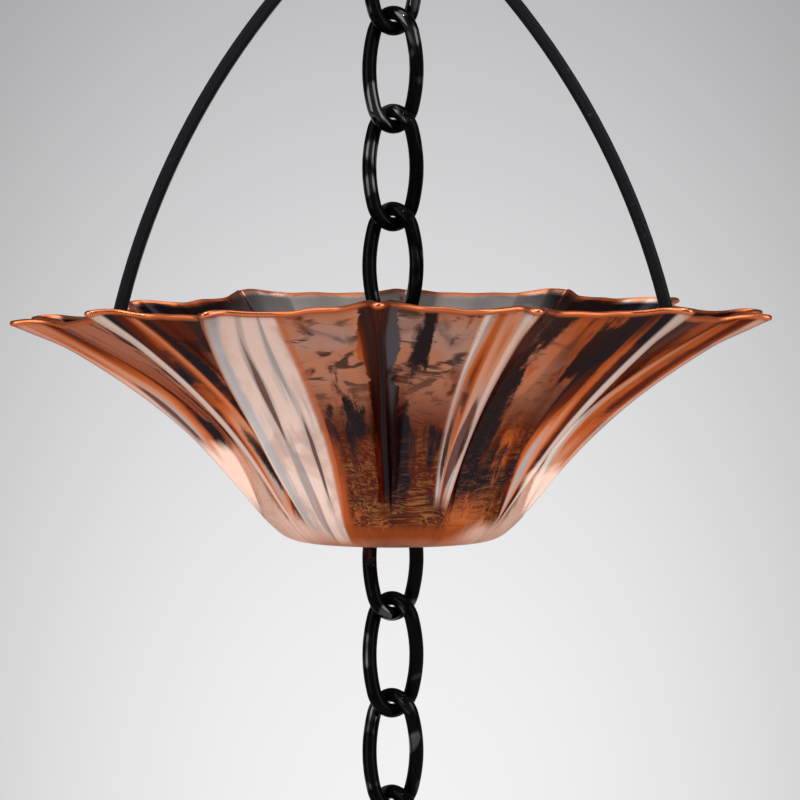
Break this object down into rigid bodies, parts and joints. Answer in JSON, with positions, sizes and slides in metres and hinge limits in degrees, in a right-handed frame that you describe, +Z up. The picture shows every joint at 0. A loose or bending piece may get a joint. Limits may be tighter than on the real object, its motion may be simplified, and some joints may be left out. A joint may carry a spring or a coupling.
{
  "type": "rain chain",
  "caption": "Hanging rain chain section: a fluted copper cup riveted in an arched iron bail, with a twist-link chain running down through the cup's drain hole.",
  "frame": {"origin": "top inner point of the hanging ring", "axes": "+Z up along the chain, +X right along the bail's arch, -Y the front"},
  "size_m": [0.2012, 0.2044, 0.2911],
  "materials": {
    "flamed_copper": "polished copper with dark flame patina",
    "black_iron": "satin black",
    "black_chain": "gloss black"
  },
  "bodies": {
    "hanger": {"top_ring": "black_chain", "bail": "black_iron", "cup": "flamed_copper", "rivet_left": "black_iron", "rivet_right": "black_iron"},
    "link_01": {"link_01": "black_chain"},
    "link_02": {"link_02": "black_chain"},
    "link_03": {"link_03": "black_chain"},
    "link_04": {"link_04": "black_chain"},
    "link_05": {"link_05": "black_chain"},
    "link_06": {"link_06": "black_chain"},
    "link_07": {"link_07": "black_chain"},
    "link_08": {"link_08": "black_chain"},
    "link_09": {"link_09": "black_chain"},
    "link_10": {"link_10": "black_chain"}
  },
  "joints": [
    {"name": "link_01_swing", "type": "hinge", "parent": "hanger", "child": "link_01", "pos_m": [0, 0, -0.0221], "axis": [0.7071, 0.7071, 0], "range_deg": [-10, 10]},
    {"name": "link_02_swing", "type": "hinge", "parent": "link_01", "child": "link_02", "pos_m": [0, 0, -0.04405], "axis": [0.7071, -0.7071, 0], "range_deg": [-10, 10]},
    {"name": "link_03_swing", "type": "hinge", "parent": "link_02", "child": "link_03", "pos_m": [0, 0, -0.07455], "axis": [0.7071, 0.7071, 0], "range_deg": [-20, 20]},
    {"name": "link_04_swing", "type": "hinge", "parent": "link_03", "child": "link_04", "pos_m": [0, 0, -0.09665], "axis": [0.7071, -0.7071, 0], "range_deg": [-20, 20]},
    {"name": "link_05_swing", "type": "hinge", "parent": "link_04", "child": "link_05", "pos_m": [0, 0, -0.12715], "axis": [0.7071, 0.7071, 0], "range_deg": [-10, 10]},
    {"name": "link_06_swing", "type": "hinge", "parent": "link_05", "child": "link_06", "pos_m": [0, 0, -0.14925], "axis": [0.7071, -0.7071, 0], "range_deg": [-10, 10]},
    {"name": "link_07_swing", "type": "hinge", "parent": "link_06", "child": "link_07", "pos_m": [0, 0, -0.17975], "axis": [0.7071, 0.7071, 0], "range_deg": [-12, 12]},
    {"name": "link_08_swing", "type": "hinge", "parent": "link_07", "child": "link_08", "pos_m": [0, 0, -0.20185], "axis": [0.7071, -0.7071, 0], "range_deg": [-45, 45]},
    {"name": "link_09_swing", "type": "hinge", "parent": "link_08", "child": "link_09", "pos_m": [0, 0, -0.23235], "axis": [0.7071, 0.7071, 0], "range_deg": [-45, 45]},
    {"name": "link_10_swing", "type": "hinge", "parent": "link_09", "child": "link_10", "pos_m": [0, 0, -0.25445], "axis": [0.7071, -0.7071, 0], "range_deg": [-45, 45]}
  ],
  "couplings": [
    {"joint": "link_03_swing", "follows": "link_01_swing", "ratio": -2},
    {"joint": "link_05_swing", "follows": "link_01_swing", "ratio": 1},
    {"joint": "link_04_swing", "follows": "link_02_swing", "ratio": -2},
    {"joint": "link_06_swing", "follows": "link_02_swing", "ratio": 1}
  ]
}
